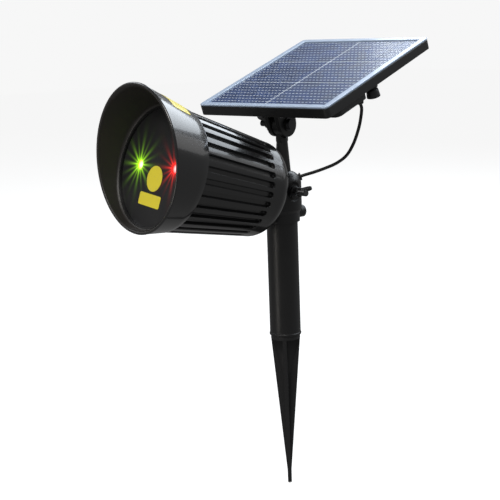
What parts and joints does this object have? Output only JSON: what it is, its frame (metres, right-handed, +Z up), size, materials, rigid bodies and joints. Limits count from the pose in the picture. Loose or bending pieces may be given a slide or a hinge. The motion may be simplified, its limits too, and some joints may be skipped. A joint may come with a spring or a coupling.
{
  "type": "light projector stake",
  "caption": "Garden light projector on a ground stake: ribbed round lamp with a slanting hood on a tilting head, small solar panel on a hinged arm above, short lead between them.",
  "frame": {"origin": "axis of the stake at the ground line, where the spike meets the post tube", "axes": "+Z up the stake, lamp faces -Y at rest, tilt bolt along X"},
  "size_m": [0.1544, 0.269, 0.3677],
  "materials": {
    "satin_black": "satin moulded black",
    "gloss_black": "glossy moulded black",
    "spike_black": "matte moulded black",
    "knob_black": "matte moulded black",
    "black_rubber": "soft black",
    "bright_screw": "zinc plated",
    "green_lens": "polished",
    "red_lens": "polished",
    "grating_glass": "ruled",
    "brass_barrel": "turned",
    "cast_block": "milled",
    "brass_spacer": "turned",
    "green_board": "lacquered",
    "chip_black": "moulded",
    "cell_wrap": "wrapped in blue film",
    "cradle_plastic": "moulded",
    "yellow_film": "plain printed film",
    "white_sheet": "smooth",
    "cell_blue": "polycrystalline silicon",
    "ribbon_tin": "tinned",
    "clear_glass": "tempered, polished",
    "silver_bezel": "satin silver"
  },
  "bodies": {
    "stake": {"post_tube": "satin_black", "ground_spike": "spike_black"},
    "head": {"head_yoke": "satin_black", "tilt_bolt": "bright_screw", "tilt_washers": "bright_screw", "panel_arm": "satin_black", "arm_set_screw": "bright_screw", "lead_grommet": "black_rubber"},
    "tilt_nut": {"tilt_wing_nut": "knob_black"},
    "knob": {"lock_knob": "knob_black"},
    "lamp": {"finned_housing": "gloss_black", "hood": "gloss_black", "plate_seal": "black_rubber", "front_plate": "satin_black", "retaining_ring": "gloss_black", "green_window": "green_lens", "red_window": "red_lens", "green_grating": "grating_glass", "red_grating": "grating_glass", "green_module": "brass_barrel", "red_module": "brass_barrel", "laser_block": "cast_block", "laser_screws": "bright_screw", "board_spacers": "brass_spacer", "driver_board": "green_board", "board_parts": "chip_black", "board_screws": "bright_screw", "battery_cell": "cell_wrap", "battery_cradle": "cradle_plastic", "cradle_screws": "bright_screw", "tilt_lug": "satin_black", "lug_screws": "bright_screw", "plate_patch_round": "yellow_film", "plate_patch_strip": "yellow_film", "hood_patch": "yellow_film"},
    "panel": {"hinge_clevis": "satin_black", "clevis_screws": "bright_screw", "panel_pivot_bolt": "bright_screw", "panel_pivot_washers": "bright_screw", "panel_tray": "satin_black", "back_cover": "satin_black", "cover_screws": "bright_screw", "backsheet": "white_sheet", "solar_cells": "cell_blue", "cell_ribbons": "ribbon_tin", "cover_glass": "clear_glass", "bezel": "silver_bezel", "control_box": "satin_black", "box_screws": "bright_screw", "charge_board": "green_board", "charge_parts": "chip_black", "lead_gland": "black_rubber", "switch_body": "satin_black", "lead_wire": "black_rubber"},
    "panel_nut": {"panel_wing_nut": "knob_black"},
    "switch": {"switch_cap": "knob_black"}
  },
  "joints": [
    {"name": "head_swivel", "type": "hinge", "parent": "stake", "child": "head", "pos_m": [0, 0, 0.105], "axis": [0, 0, 1], "continuous": true},
    {"name": "lamp_tilt", "type": "hinge", "parent": "head", "child": "lamp", "pos_m": [0, 0, 0.12], "axis": [1, 0, 0], "range_deg": [-14, 24]},
    {"name": "panel_tilt", "type": "hinge", "parent": "head", "child": "panel", "pos_m": [0, 0.0025, 0.1735], "axis": [0.9848, 0.1736, 0], "range_deg": [-19, 26], "deforming": ["lead_wire"]},
    {"name": "tilt_nut_turn", "type": "hinge", "parent": "head", "child": "tilt_nut", "pos_m": [0.02, 0, 0.12], "axis": [1, 0, 0], "continuous": true},
    {"name": "panel_nut_turn", "type": "hinge", "parent": "panel", "child": "panel_nut", "pos_m": [0, 0.0025, 0.1735], "axis": [0.9848, 0.1736, 0], "continuous": true},
    {"name": "lock_knob_turn", "type": "hinge", "parent": "head", "child": "knob", "pos_m": [0, 0.02, 0.1005], "axis": [0, 1, 0], "continuous": true},
    {"name": "switch_press", "type": "slide", "parent": "panel", "child": "switch", "axis": [0.0565, -0.3206, 0.9455], "range_m": [0, 0.0015], "stiffness_N_per_m": 400}
  ]
}
